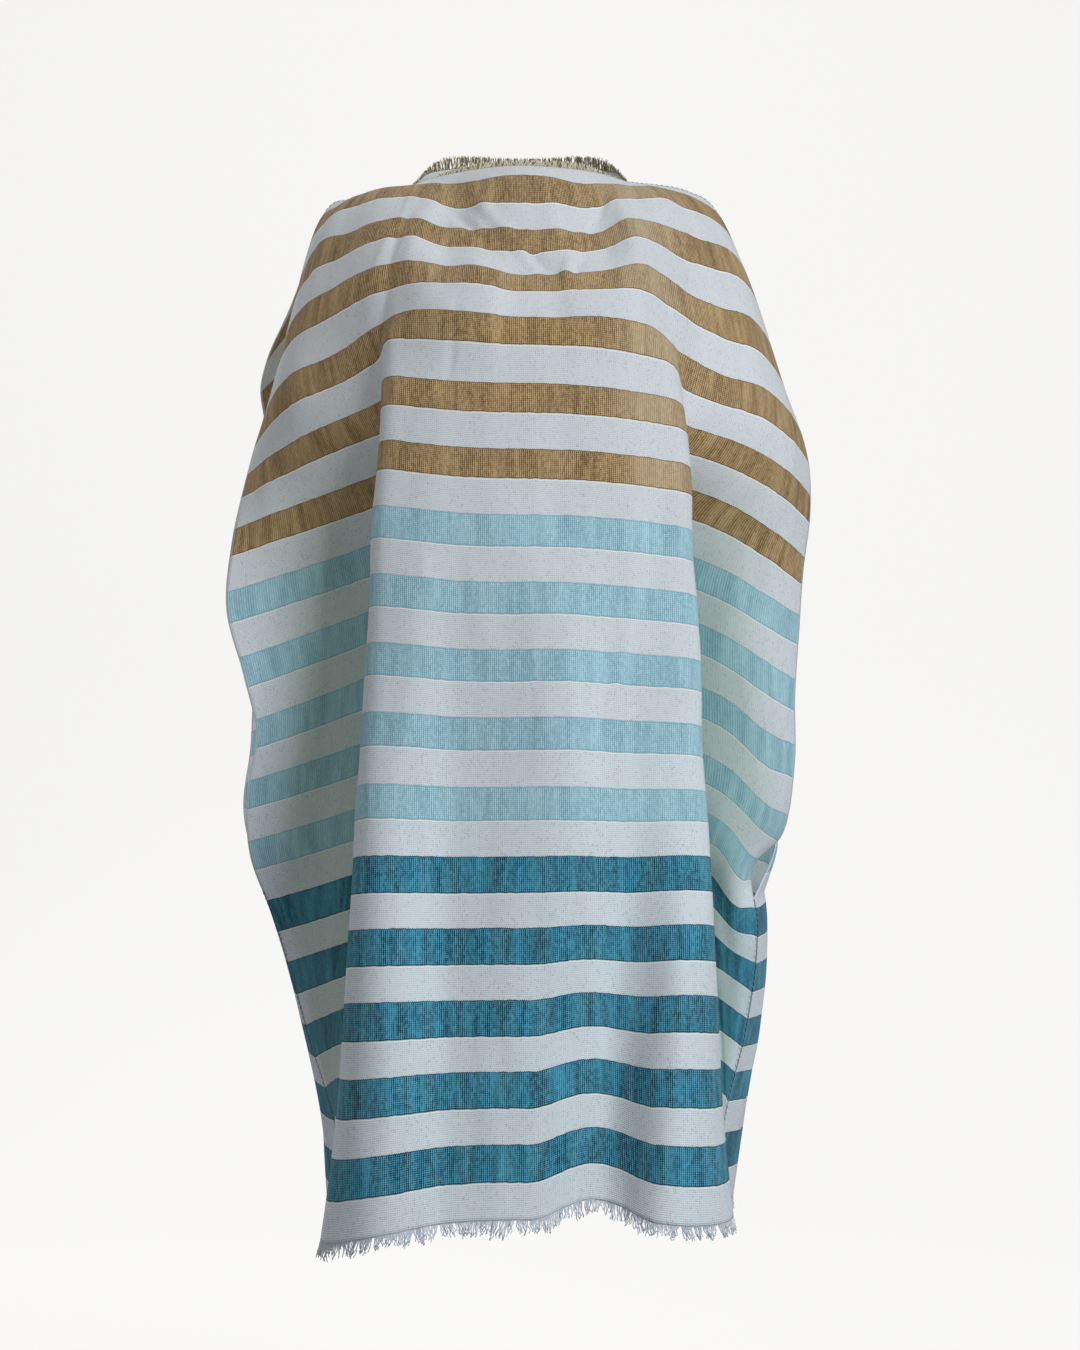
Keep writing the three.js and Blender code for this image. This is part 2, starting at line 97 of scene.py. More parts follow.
# The paper shows near white, but throws little light back on the cloth. Inputs 6 and 7 of a
# colour mix are its two colours.
light_path = sweep_tree.nodes.new("ShaderNodeLightPath")
sweep_tone = sweep_tree.nodes.new("ShaderNodeMix")
sweep_tone.data_type = "RGBA"
sweep_tone.inputs[6].default_value = (0.3, 0.3, 0.3, 1)
sweep_tone.inputs[7].default_value = (0.15, 0.149, 0.147, 1)
sweep_tree.links.new(light_path.outputs["Is Camera Ray"], sweep_tone.inputs[0])
sweep_tree.links.new(sweep_tone.outputs[2], sweep_shader.inputs["Base Color"])
sweep_glow = sweep_tree.nodes.new("ShaderNodeMath")
sweep_glow.operation = "MULTIPLY"
sweep_glow.inputs[1].default_value = 0.85
sweep_tree.links.new(light_path.outputs["Is Camera Ray"], sweep_glow.inputs[0])
sweep_tree.links.new(sweep_glow.outputs[0], sweep_shader.inputs["Emission Strength"])
sweep_mesh.materials.append(sweep_paper)
floor_sweep = bpy.data.objects.new("floor_sweep", sweep_mesh)
scene.collection.objects.link(floor_sweep)

world = bpy.data.worlds.new("studio_air")
world.use_nodes = True
air_shader = world.node_tree.nodes["Background"]
air_shader.inputs["Color"].default_value = (0.955, 0.962, 0.97, 1)
air_path = world.node_tree.nodes.new("ShaderNodeLightPath")
air_light = world.node_tree.nodes.new("ShaderNodeMath")
air_light.operation = "MULTIPLY_ADD"
air_light.inputs[1].default_value = 0.64
air_light.inputs[2].default_value = 0.28
world.node_tree.links.new(air_path.outputs["Is Camera Ray"], air_light.inputs[0])
world.node_tree.links.new(air_light.outputs[0], air_shader.inputs["Strength"])
scene.world = world


def hang_light(name, place, aim, size, power, colour):
    """A square soft light at `place`, turned towards `aim`."""
    data = bpy.data.lights.new(name, "AREA")
    data.size = size
    data.energy = power
    data.color = colour
    light = bpy.data.objects.new(name, data)
    light.location = place
    light.visible_camera = False
    way = np.subtract(aim, place)
    flat = math.hypot(way[0], way[1])
    light.rotation_euler = (math.atan2(flat, -way[2]), 0, math.atan2(-way[0], way[1]))
    scene.collection.objects.link(light)


hang_light("window", (2.15, -2.8, 0.2), (0, 0, -0.5), 1.5, 71, (0.9, 0.95, 1.0))
hang_light("back_fill", (-1.6, 2.4, 1.4), (0, 0, -0.5), 1.8, 34, (0.97, 0.98, 1.0))
hang_light("left_fill", (-2.4, -1.7, 1.3), (-0.2, 0, -0.35), 1.6, 9, (0.97, 0.98, 1.0))
hang_light("paper_light", (0, 0.8, 2.6), (0, 3.6, -0.9), 2.5, 26, (1, 0.99, 0.97))

# Thin cotton lets some daylight through, so the hollow inside is never quite dark.
hollow_glow = bpy.data.lights.new("hollow_glow", "POINT")
hollow_glow.energy = 1.0
hollow_glow.color = (1, 0.96, 0.86)
hollow_glow.shadow_soft_size = 0.12
hollow_lamp = bpy.data.objects.new("hollow_glow", hollow_glow)
hollow_lamp.location = (0, 0, -0.55)
hollow_lamp.visible_camera = False
scene.collection.objects.link(hollow_lamp)


# ---- The front panel ----
# A rectangle of hand-woven cotton, cream warp under striped weft, 0.81 m by 1.15 m. It falls
# from the shoulders in a flat breast with a deep crease at each side, and its wings curl back.

PANEL_WIDTH = 810  # millimetres, as are all the sizes below
PANEL_LENGTH = 1148
NECK_SLIT = 340  # left unsewn between the shoulder seams
ARMHOLE_DEPTH = 785  # left unsewn below each shoulder
WALL = 1.5  # thickness of the cloth
SEAM_GAP = 0.3
HALF_WIDTH = PANEL_WIDTH / 2
HALF_SLIT = NECK_SLIT / 2
MM = 0.001


def table(columns, rows):
    """Rows of numbers, each at a distance down the cloth from its neck edge."""
    return [dict(zip(columns, row)) for row in rows]


# The middle line: how far in front of the origin, and how high.
FRONT_MIDDLE = table(("down", "forward", "height"), [
    (0, 85, -8), (30, 101, -31), (65, 120, -67), (135, 152, -127), (200, 183, -181),
    (240, 200, -215), (310, 211, -288), (395, 218, -373), (535, 226, -512), (675, 230, -648),
    (815, 232, -786), (955, 234, -924), (1050, 236, -1016), (1148, 238, -1113),
])
# From the middle to the crease, the tuck behind it, where the selvedge is (out and back from
# the origin, below the middle), and how far the wing swells outwards and upwards on its way.
SIDE_COLUMNS = (
    "down", "crease_out", "crease_back", "crease_rise", "tuck_in", "tuck_back", "tuck_drop",
    "edge_out", "edge_back", "edge_drop", "bow", "lift",
)
LEFT_SIDE = table(SIDE_COLUMNS, [
    (0, 125, 90, 14, 0, 0, 0, 246, 45, 62, 12, 32),
    (65, 136, 72, 33, 0, 0, 0, 258, 52, 58, 26, 38),
    (135, 144, 56, 28, 0, 0, 0, 270, 46, 60, 30, 30),
    (200, 148, 46, 22, 0, 0, 0, 284, 30, 64, 30, 16),
    (255, 149, 38, 20, 2, 12, 12, 296, 6, 60, 26, 2),
    (325, 149, 31, 19, 6, 38, 19, 305, -30, 50, 12, 0),
    (395, 152, 28, 19, 14, 72, 19, 312, -66, 50, 0, 0),
    (465, 158, 30, 18, 17, 90, 18, 313, -90, 56, -6, 0),
    (535, 159, 31, 16, 17, 94, 17, 293, -98, 57, -6, 0),
    (605, 162, 33, 13, 16, 92, 17, 279, -90, 53, -6, 0),
    (675, 165, 34, 9, 14, 90, 15, 289, -80, 48, -8, 0),
    (745, 168, 35, 4, 11, 88, 10, 286, -66, 42, -8, 0),
    (815, 171, 36, 0, 8, 84, 8, 264, -42, 35, -4, 0),
    (955, 177, 42, -5, 4, 70, 1, 226, -4, 29, 2, 0),
    (1050, 185, 46, -15, 2, 56, -6, 198, 2, 28, 2, 0),
    (1148, 198, 50, -30, 0, 40, -7, 184, 4, 40, 4, 0),
])
RIGHT_SIDE = table(SIDE_COLUMNS, [
    (0, 115, 90, 24, 0, 0, 0, 246, 45, 62, 12, 36),
    (65, 133, 72, 34, 0, 0, 0, 261, 52, 62, 28, 40),
    (135, 147, 56, 24, 0, 0, 0, 282, 46, 66, 32, 30),
    (200, 157, 46, 4, 0, 0, 0, 304, 30, 72, 30, 8),
    (255, 166, 38, -10, 2, 12, 14, 318, 6, 78, 32, 0),
    (325, 173, 32, -10, 6, 38, 14, 316, -26, 76, 33, -4),
    (395, 178, 31, -9, 14, 80, 4, 304, -48, 78, 35, -7),
    (465, 178, 36, -7, 17, 98, 5, 297, -60, 74, 38, -8),
    (535, 183, 37, -6, 17, 102, 5, 291, -62, 76, 38, -8),
    (605, 185, 38, -4, 16, 102, 7, 290, -58, 78, 39, -8),
    (675, 184, 39, -2, 14, 104, 10, 278, -50, 83, 38, -8),
    (745, 187, 40, 0, 11, 110, 2, 243, -62, 55, 30, -4),
    (815, 190, 42, 0, 8, 120, -4, 245, -80, 43, 6, 0),
    (955, 195, 46, -1, 3, 114, -12, 230, -84, 18, 2, 0),
    (1050, 199, 50, -4, 1, 92, -18, 211, -72, 2, 2, 0),
    (1148, 208, 54, -8, 0, 60, -14, 196, -54, 6, 2, 0),
])
# Soft folds laid over the drape. across and down: the middle of the fold. width and length:
# half its size each way. lean: how far it runs outwards to the right over its own length.
# forward and rise: how far its middle moves.
FOLD_COLUMNS = ("across", "down", "width", "length", "lean", "forward", "rise")
FRONT_FOLDS = table(FOLD_COLUMNS, [
    (-162, 120, 80, 140, 20, 20, 8),
    (148, 135, 55, 130, 0, 22, 8),
    (-80, 62, 38, 42, 0, -8, -4),
    (85, 80, 45, 80, 0, -10, -4),
    (-75, 215, 75, 90, 0, 14, 2),
    (95, 215, 65, 80, 0, 14, 3),
    (-50, 180, 40, 50, 0, 6, 2),
    (10, 145, 70, 50, 0, -8, -3),
    (0, 29, 90, 40, 0, 0, 7),
    (-356, 5, 58, 110, 0, 0, 12),
    (351, 0, 54, 90, 0, 0, 6),
    (-215, 38, 120, 55, 0, 0, 7),
    (205, 40, 90, 55, 0, 0, 5),
    (190, 70, 40, 60, 0, 8, 4),
    (-274, 90, 62, 60, 0, 0, 8),
    (-225, 245, 85, 90, 0, -14, -8),
    (222, 205, 75, 130, 0, -14, -8),
    (70, 1188, 62, 420, 0, -10, 18),
    (165, 1190, 62, 260, 0, 0, -6),
    (-126, 830, 58, 560, -10, 10, 0),
    (-58, 840, 48, 480, 0, -5, 0),
    (42, 690, 62, 300, 8, 9, 0),
    (112, 740, 50, 300, 0, -7, 0),
    (160, 1020, 80, 340, -20, 42, 6),
    (98, 1040, 50, 330, -30, -14, 0),
    (-150, 1010, 75, 470, 0, 34, 0),
    (372, 790, 34, 120, 0, 0, -13),
    (362, 630, 36, 110, 0, 0, -9),
    (98, 611, 9, 62, -14, 2.5, 1),
    (-101, 515, 8, 40, 2, 1.5, 0),
    (-92, 800, 12, 60, 6, 2, 0),
])


def reading(rows, name, down):
    """A column of a table, read on a smooth curve through its rows."""
    last = len(rows) - 1
    at = max(sum(row["down"] <= down for row in rows) - 1, 0)
    at = min(at, last - 1)

    def span(k):
        return rows[k + 1]["down"] - rows[k]["down"]

    def slope(k):
        return (rows[k + 1][name] - rows[k][name]) / span(k)

    def tangent(k):
        if k == 0:
            return slope(0)
        if k == last:
            return slope(last - 1)
        return (slope(k - 1) * span(k) + slope(k) * span(k - 1)) / (span(k - 1) + span(k))

    t = (down - rows[at]["down"]) / span(at)
    ease = t * t * (3 - 2 * t)
    leave = t * (1 - t) ** 2 * span(at)
    arrive = t * t * (t - 1) * span(at)
    return (
        rows[at][name] * (1 - ease) + rows[at + 1][name] * ease
        + tangent(at) * leave + tangent(at + 1) * arrive
    )


def past_corner(distance, radius):
    """Distance past a corner, which is rounded over `radius` each way."""
    rounded = (distance + radius) ** 2 / (4 * radius)
    return np.where(distance <= -radius, 0, np.where(distance >= radius, distance, rounded))


def swell(places, start, end, along, bow, lift):
    """Swells a wing that runs from `start` to `end`: outwards in plan, and upwards."""
    run = end - start
    outwards = np.array((run[1], -run[0], 0)) / math.hypot(run[0], run[1])
    places += np.outer(bow * 4 * along * (1 - along), outwards)
    places[:, 2] += lift * 27 / 4 * along**2 * (1 - along)


def hump(x):
    """A hump that is 1 at its middle and 0 from one half width on."""
    return np.where(np.abs(x) < 1, (1 - x * x) ** 2, 0)


def add_folds(places, folds, across, down):
    """Moves the points of a row by the soft folds that cross it."""
    for fold in folds:
        along = (down - fold["down"]) / fold["length"]
        off = (across - fold["across"] - fold["lean"] * along) / fold["width"]
        size = hump(off) * hump(np.array(along))
        places[:, 1] -= fold["forward"] * size
        places[:, 2] += fold["rise"] * size
    return places


def crease_length(side, down):
    """The cloth from the middle of the front to its crease."""
    out = reading(side, "crease_out", down)
    return out + 0.6 * reading(side, "crease_back", down) ** 2 / out


def tuck_of(side, down):
    """The tuck behind the crease: how far the cloth runs inwards, backwards and upwards."""
    tuck_in = max(reading(side, "tuck_in", down), 0)
    tuck_back = max(reading(side, "tuck_back", down), 0)
    return np.array((-tuck_in, tuck_back, -reading(side, "tuck_drop", down)))


def front_edge(side, down):
    """The front panel's selvedge, on its own side of the middle."""
    drop = reading(side, "edge_drop", down)
    height = reading(FRONT_MIDDLE, "height", down) - drop
    return np.array((reading(side, "edge_out", down), reading(side, "edge_back", down), height))


SOFT_RADIUS = 70  # of the bend at a crease that has no tuck behind it
FOLD_RADIUS = 24  # of a crease with a full tuck
TUCK_RADIUS = 12  # of the bend at the bottom of a full tuck
FULL_TUCK = 20  # a tuck of this length or more bends the cloth this sharply


def front_half(side, away, down):
    """Points of one half of a row, at distances `away` across the cloth from the middle."""
    middle = np.array((
        0, -reading(FRONT_MIDDLE, "forward", down), reading(FRONT_MIDDLE, "height", down),
    ))
    crease = np.array([reading(side, "crease_" + way, down) for way in ("out", "back", "rise")])
    to_crease = crease_length(side, down)
    tuck = tuck_of(side, down)
    tuck_length = np.linalg.norm(tuck)
    start = crease + tuck
    end = front_edge(side, down) - middle
    wing_length = HALF_WIDTH - to_crease - tuck_length

    leaving = crease * (1, 2, 2) / to_crease
    tucking = tuck / tuck_length if tuck_length > 0 else leaving
    winging = (end - start) / wing_length
    sharp = min(tuck_length / FULL_TUCK, 1)
    fold_radius = SOFT_RADIUS + (FOLD_RADIUS - SOFT_RADIUS) * sharp
    tuck_radius = SOFT_RADIUS + (TUCK_RADIUS - SOFT_RADIUS) * sharp
    chest = np.minimum(away / to_crease, 1)
    places = np.stack((chest, chest**2, chest**2), axis=1) * crease
    places += np.outer(np.maximum(away - to_crease, 0), leaving)
    places += np.outer(past_corner(away - to_crease, fold_radius), tucking - leaving)
    places += np.outer(past_corner(away - to_crease - tuck_length, tuck_radius), winging - tucking)
    along = np.clip((away - to_crease - tuck_length) / wing_length, 0, 1)
    swell(places, start, end, along, reading(side, "bow", down), reading(side, "lift", down))
    return places + middle


def front_row(across, down):
    """Points on the outside of the front panel, along one row."""
    left = front_half(LEFT_SIDE, np.abs(across), down) * (-1, 1, 1)
    right = front_half(RIGHT_SIDE, np.abs(across), down)
    places = np.where(across[:, None] < 0, left, right)
    return add_folds(places, FRONT_FOLDS, across, down)


# The lines of the cloth's mesh follow the creases, and one meets each end of the neck slit.
BREAST_LINES = 34
CREASE_LINES = 19
WING_LINES = 33
CREASE_REACH = 14  # how far the close lines go past each side of a tuck
SHORTEST_TUCK = 16
STRAIGHTENED = 100  # how far below the neck the lines are drawn towards the ends of its slit
SEWN_FROM_ROW = 172  # the first row below the armholes
SEWN_ROWS = 77
ROWS = np.concatenate((
    np.linspace(0, ARMHOLE_DEPTH, SEWN_FROM_ROW + 1),
    np.linspace(ARMHOLE_DEPTH, PANEL_LENGTH, SEWN_ROWS + 1)[1:],
))
SLIT_COLUMN = BREAST_LINES
HALF_COLUMNS = BREAST_LINES + CREASE_LINES + WING_LINES


def lines_across(side, down):
    """Distances across one half of a row, from the middle to the selvedge."""
    slide = HALF_SLIT + CREASE_REACH - crease_length(side, 0)
    crease = crease_length(side, down) + slide * max(0, 1 - down / STRAIGHTENED)
    tucked = crease + max(np.linalg.norm(tuck_of(side, down)), SHORTEST_TUCK)
    return np.concatenate((
        np.linspace(0, crease - CREASE_REACH, BREAST_LINES + 1),
        np.linspace(crease - CREASE_REACH, tucked + CREASE_REACH, CREASE_LINES + 1)[1:],
        np.linspace(tucked + CREASE_REACH, HALF_WIDTH, WING_LINES + 1)[1:],
    ))


grid_across = np.array([
    np.concatenate((-lines_across(LEFT_SIDE, down)[:0:-1], lines_across(RIGHT_SIDE, down)))
    for down in ROWS
])
grid_down = np.repeat(ROWS[:, None], grid_across.shape[1], axis=1)


def directions_out(grid, facing):
    """The direction out of the cloth at each point of a grid, rows by columns."""
    downwards = np.gradient(grid, axis=0)
    sideways = np.gradient(grid, axis=1)
    normals = facing * np.cross(sideways, downwards)
    return normals / np.linalg.norm(normals, axis=2, keepdims=True)


SLIGHT_CREASES = 170  # on each panel


def rumple(grid, facing, seed):
    """Adds the slight, mostly upright creases that loose cotton hangs in, clear of its seams."""
    dice = np.random.default_rng(seed)
    height = np.zeros(grid_across.shape)
    for line in range(SLIGHT_CREASES):
        down = dice.uniform(0, PANEL_LENGTH)
        off = grid_across - dice.uniform(-HALF_WIDTH, HALF_WIDTH)
        off = off - dice.uniform(-0.2, 0.2) * (grid_down - down)
        size = hump(off / dice.uniform(9, 26)) * hump((grid_down - down) / dice.uniform(45, 170))
        height += dice.uniform(-1.5, 1.5) * size
    height *= np.clip((HALF_WIDTH - np.abs(grid_across)) / 30, 0, 1)
    height *= np.clip(grid_down / 50, 0, 1)
    return grid + directions_out(grid, facing) * height[:, :, None]


# The short, slanting creases below the neck, where the breast pulls the cloth. width and
# reach: half the size each way. slant: how far a crease runs to the right for each step down.
BREAST_CREASES = table(("across", "down", "slant", "width", "reach", "height"), [
    (-62, 96, 0.75, 12, 80, -3.8), (-34, 84, 0.7, 13, 64, 3.2), (-2, 128, 0.45, 10, 60, 3.6),
    (14, 132, 0.5, 9, 54, -3.2), (52, 158, -0.3, 10, 36, 2.8), (65, 152, -0.35, 9, 34, -2.4),
    (-150, 120, -0.25, 13, 80, -3.0), (-128, 132, -0.15, 13, 70, 2.2),
    (-74, 275, -0.1, 6, 75, -2.0), (96, 70, -0.6, 13, 60, -2.8), (78, 92, -0.6, 12, 60, 2.6),
    (-96, 52, 0.9, 10, 45, 2.6),
])


def add_creases(grid, facing, creases):
    """Adds creases one by one, each straight, slanting and fading out at its ends."""
    height = np.zeros(grid_across.shape)
    for line in creases:
        off = grid_across - line["across"] - line["slant"] * (grid_down - line["down"])
        along = (grid_down - line["down"]) / line["reach"]
        height += line["height"] * hump(off / line["width"]) * hump(along)
    return grid + directions_out(grid, facing) * height[:, :, None]


front_grid = np.array([front_row(across, down) for across, down in zip(grid_across, ROWS)])
front_grid = rumple(front_grid, -1, 4)
front_grid = add_creases(front_grid, -1, BREAST_CREASES)
front_out = directions_out(front_grid, -1)


# ---- The back panel ----
# The second rectangle, cut and striped as the front one is. It is sewn to the front along both
# shoulders and below the armholes, and falls from the shoulder blades in loose upright folds.

# The middle line, and where each half of a row turns forward around the shoulder blade.
BACK_MIDDLE = table(("down", "backward", "height", "turn_out", "turn_forward", "turn_drop"), [
    (0, 62, 44, 125, 57, 35), (40, 82, 14, 138, 42, 38), (100, 102, -42, 154, 26, 38),
    (180, 116, -121, 165, 18, 40), (325, 126, -265, 170, 16, 42), (535, 134, -473, 176, 18, 42),
    (815, 150, -751, 182, 26, 38), (1148, 168, -1082, 186, 40, 30),
])
# The swell of its wings, outwards and upwards.
BACK_WING = table(("down", "bow_left", "bow_right", "lift"), [
    (0, 12, 12, 36), (60, 24, 24, 38), (130, 34, 34, 30), (200, 42, 42, 14), (325, 48, 48, 0),
    (535, 44, 44, 0), (785, 38, 46, 0), (955, 30, 46, 0), (1148, 26, 36, 0),
])
# Its selvedges above the side seams, where the armholes are open.
EDGE_COLUMNS = ("down", "out", "back", "height")
LEFT_BACK_EDGE = table(EDGE_COLUMNS, [
    (0, 246, 45, -70), (60, 268, 60, -122), (130, 295, 67, -184), (165, 301, 67, -216),
    (200, 296, 65, -251), (255, 290, 61, -306), (325, 294, 55, -375), (465, 298, 30, -506),
    (605, 296, -2, -634), (700, 297, -40, -714), (785, 274, -53, -794),
])
RIGHT_BACK_EDGE = table(EDGE_COLUMNS, [
    (0, 246, 45, -70), (100, 254, 70, -164), (200, 264, 80, -262), (325, 278, 79, -384),
    (465, 284, 66, -514), (605, 283, 38, -644), (700, 276, -6, -726), (745, 268, -36, -758),
    (785, 243, -73, -804),
])
BACK_FOLDS = table(FOLD_COLUMNS, [
    (-252, 1148, 64, 820, 0, -22, 0),
    (-150, 1148, 60, 900, 0, 20, 0),
    (-62, 1148, 66, 840, 0, -18, 0),
    (14, 1148, 56, 700, 0, 14, 0),
    (88, 1148, 66, 900, 0, -22, 0),
    (172, 1148, 58, 820, 0, 22, 0),
    (262, 1148, 66, 880, 0, -24, 0),
])
BLADE_RADIUS = 45  # of the bend around a shoulder blade
SHOULDER_FADE = 220  # how far down the back follows the shoulder seam
SLIT_END = 60  # length of the neck edge that bends to meet the seam


def back_half(side, edge, bow, away, down):
    """Points of one half of a row, before the panel is fitted to the shoulder seam."""
    middle = np.array((
        0, reading(BACK_MIDDLE, "backward", down), reading(BACK_MIDDLE, "height", down),
    ))
    turn = np.array((
        reading(BACK_MIDDLE, "turn_out", down), reading(BACK_MIDDLE, "turn_forward", down),
        -reading(BACK_MIDDLE, "turn_drop", down),
    ))
    to_turn = turn[0] + (0.6 * turn[1] ** 2 + 0.45 * turn[2] ** 2) / turn[0]
    if down >= ARMHOLE_DEPTH:
        selvedge = front_edge(side, down)
    else:
        selvedge = np.array([reading(edge, way, down) for way in ("out", "back", "height")])
    end = np.array((selvedge[0], middle[1] - selvedge[1], selvedge[2] - middle[2]))
    wing_length = HALF_WIDTH - to_turn

    leaving = turn * (1, 2, 4) / to_turn
    winging = (end - turn) / wing_length
    shoulder = np.minimum(away / to_turn, 1)
    places = np.stack((shoulder, shoulder**2, shoulder**4), axis=1) * turn
    places += np.outer(np.maximum(away - to_turn, 0), leaving)
    places += np.outer(past_corner(away - to_turn, BLADE_RADIUS), winging - leaving)
    along = np.clip((away - to_turn) / wing_length, 0, 1)
    swell(places, turn, end, along, reading(BACK_WING, bow, down), reading(BACK_WING, "lift", down))
    return middle + places * (1, -1, 1)


def back_drape(across, down):
    """Points on the outside of the back panel, along one row, as it would hang unsewn."""
    away = np.abs(across)
    left = back_half(LEFT_SIDE, LEFT_BACK_EDGE, "bow_left", away, down) * (-1, 1, 1)
    right = back_half(RIGHT_SIDE, RIGHT_BACK_EDGE, "bow_right", away, down)
    places = np.where(across[:, None] < 0, left, right)
    return add_folds(places, BACK_FOLDS, across, down)


def back_row(across, down):
    """Points on the outside of the back panel. Its top edge follows the shoulder seam."""
    places = back_drape(across, down)
    if down >= SHOULDER_FADE:
        return places
    away = np.abs(across)
    seam_at = np.sign(across) * np.maximum(away, HALF_SLIT)
    shift = front_row(seam_at, 0) - back_drape(seam_at, 0)
    reach = np.clip((away - HALF_SLIT + SLIT_END) / SLIT_END, 0, 1)
    reach = reach * reach * (3 - 2 * reach) * (1 - down / SHOULDER_FADE) ** 2
    return places + shift * reach[:, None]


back_grid = np.array([back_row(across, down) for across, down in zip(grid_across, ROWS)])
back_grid = rumple(back_grid, 1, 9)
back_out = directions_out(back_grid, 1)


# ---- The seams ----
# The panels are whipped together edge to edge, along the shoulders outside the neck slit and
# down the selvedges below the armholes. Their edges are mitred where they meet.

def unit(vectors):
    """Each vector at a length of 1."""
    return vectors / np.linalg.norm(vectors, axis=-1, keepdims=True)


def sew_line(line, within_line):
    """Mitres both panels along a seam. Each line holds rows and columns: of the seam's own
    points, and of the next points inside the panels."""
    seam = front_grid[line]
    tangent = unit(np.gradient(seam, axis=0))
    middle = front_out[line] + back_out[line]
    middle = unit(middle - tangent * np.sum(middle * tangent, axis=1, keepdims=True))
    for grid, out, outer, inner in panels:
        within = grid[within_line] - grid[line]
        within = within - tangent * np.sum(within * tangent, axis=1, keepdims=True)
        within = unit(within - middle * np.sum(within * middle, axis=1, keepdims=True))
        depth = WALL / np.maximum(np.sum(middle * out[line], axis=1, keepdims=True), 0.5)
        outer[line] = seam + within * SEAM_GAP / 2
        inner[line] = outer[line] - middle * depth


front_outer, front_inner = front_grid.copy(), front_grid - front_out * WALL
back_outer, back_inner = back_grid.copy(), back_grid - back_out * WALL
panels = [
    (front_grid, front_out, front_outer, front_inner),
    (back_grid, back_out, back_outer, back_inner),
]
LAST_COLUMN = 2 * HALF_COLUMNS
top = np.arange(0, HALF_COLUMNS - SLIT_COLUMN + 1)
side_rows = np.arange(SEWN_FROM_ROW, len(ROWS))
seam_lines = []
for columns in (top, LAST_COLUMN - top):
    seam_lines.append(((np.zeros_like(columns), columns), (np.ones_like(columns), columns)))
for column, within in ((0, 1), (LAST_COLUMN, LAST_COLUMN - 1)):
    edge = (side_rows, np.full_like(side_rows, column))
    seam_lines.append((edge, (side_rows, np.full_like(side_rows, within))))
for line, within_line in seam_lines:
    sew_line(line, within_line)


# ---- The cloth ----
# Cream warp ends about 2 mm apart show as ribs through the coloured stripes, where the weft is
# beaten in hard. The white stripes between are a looser, slubby plain weave.

def feed(tree, sockets, values):
    """Gives each socket its number or colour, or what another node gives."""
    for socket, value in zip(sockets, values):
        if isinstance(value, bpy.types.NodeSocket):
            tree.links.new(value, socket)
        elif isinstance(value, tuple):
            socket.default_value = (*value, 1)
        else:
            socket.default_value = value


def work_out(tree, step, *values):
    """One step of arithmetic, on numbers or on what other nodes give."""
    node = tree.nodes.new("ShaderNodeMath")
    node.operation = step
    feed(tree, node.inputs, values)
    return node.outputs[0]


def held(tree, value):
    """The value, kept from 0 to 1."""
    return work_out(tree, "MINIMUM", work_out(tree, "MAXIMUM", value, 0.0), 1.0)


def wave(tree, turns):
    """A smooth wave from 0 to 1, once for each whole turn."""
    swing = work_out(tree, "SINE", work_out(tree, "MULTIPLY", turns, math.tau))
    return work_out(tree, "MULTIPLY_ADD", swing, 0.5, 0.5)


def at_place(tree, x, y, z):
    """A place to read a texture at, from three numbers or sockets."""
    node = tree.nodes.new("ShaderNodeCombineXYZ")
    feed(tree, node.inputs, (x, y, z))
    return node.outputs[0]


def blend_colours(tree, share, first, second, blend="MIX"):
    """Two colours mixed, or with MULTIPLY the second multiplied onto the first, as for painted shade.
    """
    node = tree.nodes.new("ShaderNodeMix")
    node.data_type = "RGBA"
    node.blend_type = blend
    feed(tree, (node.inputs[0], node.inputs[6], node.inputs[7]), (share, first, second))
    return node.outputs[2]


def read_map(tree, map_name):
    """The two values of one of a piece's maps."""
    node = tree.nodes.new("ShaderNodeUVMap")
    node.uv_map = map_name
    split = tree.nodes.new("ShaderNodeSeparateXYZ")
    tree.links.new(node.outputs[0], split.inputs[0])
    return split.outputs[0], split.outputs[1]


def unevenness(tree, across, down, width, length, seed, detail=2.0):
    """Soft blotches about `width` by `length` millimetres, from 0 to 1."""
    sideways = work_out(tree, "DIVIDE", across, width)
    lengthways = work_out(tree, "DIVIDE", down, length)
    node = tree.nodes.new("ShaderNodeTexNoise")
    node.inputs["Scale"].default_value = 1.0
    node.inputs["Detail"].default_value = detail
    tree.links.new(at_place(tree, sideways, lengthways, seed), node.inputs["Vector"])
    return held(tree, work_out(tree, "MULTIPLY_ADD", node.outputs[0], 2.2, -0.6))


def thread_chance(tree, across, down, width, length, seed):
    """A number from 0 to 1 for each short length of each thread."""
    column = work_out(tree, "FLOOR", work_out(tree, "DIVIDE", across, width))
    shift = tree.nodes.new("ShaderNodeTexWhiteNoise")
    tree.links.new(at_place(tree, column, seed, 0.0), shift.inputs["Vector"])
    along = work_out(tree, "ADD", work_out(tree, "DIVIDE", down, length), shift.outputs[0])
    row = work_out(tree, "FLOOR", along)
    chance = tree.nodes.new("ShaderNodeTexWhiteNoise")
    tree.links.new(at_place(tree, column, row, seed), chance.inputs["Vector"])
    return chance.outputs[0]


STRIPE_PERIOD = 70
STRIPE_MIDDLE = 44.5  # from the neck edge to the middle of the first coloured stripe
RIB_PITCH = 2.1  # between the cream warp ends
WEFT_PITCH = 2.0  # between the weft lines of the white stripes
PAINTED_LIGHT_AT = 150  # across the cloth, the middle of the painted light on the tan
PAINTED_SHADE_AT = 308  # across the cloth, the middle of the painted shade behind each crease
SELVEDGE = 2.5  # the pale edge along the armholes
SEAM_SHADE_WIDTH = 1.1  # the painted shade along the side seams
HEM_WHITE = 10  # no stripe starts this near the hem
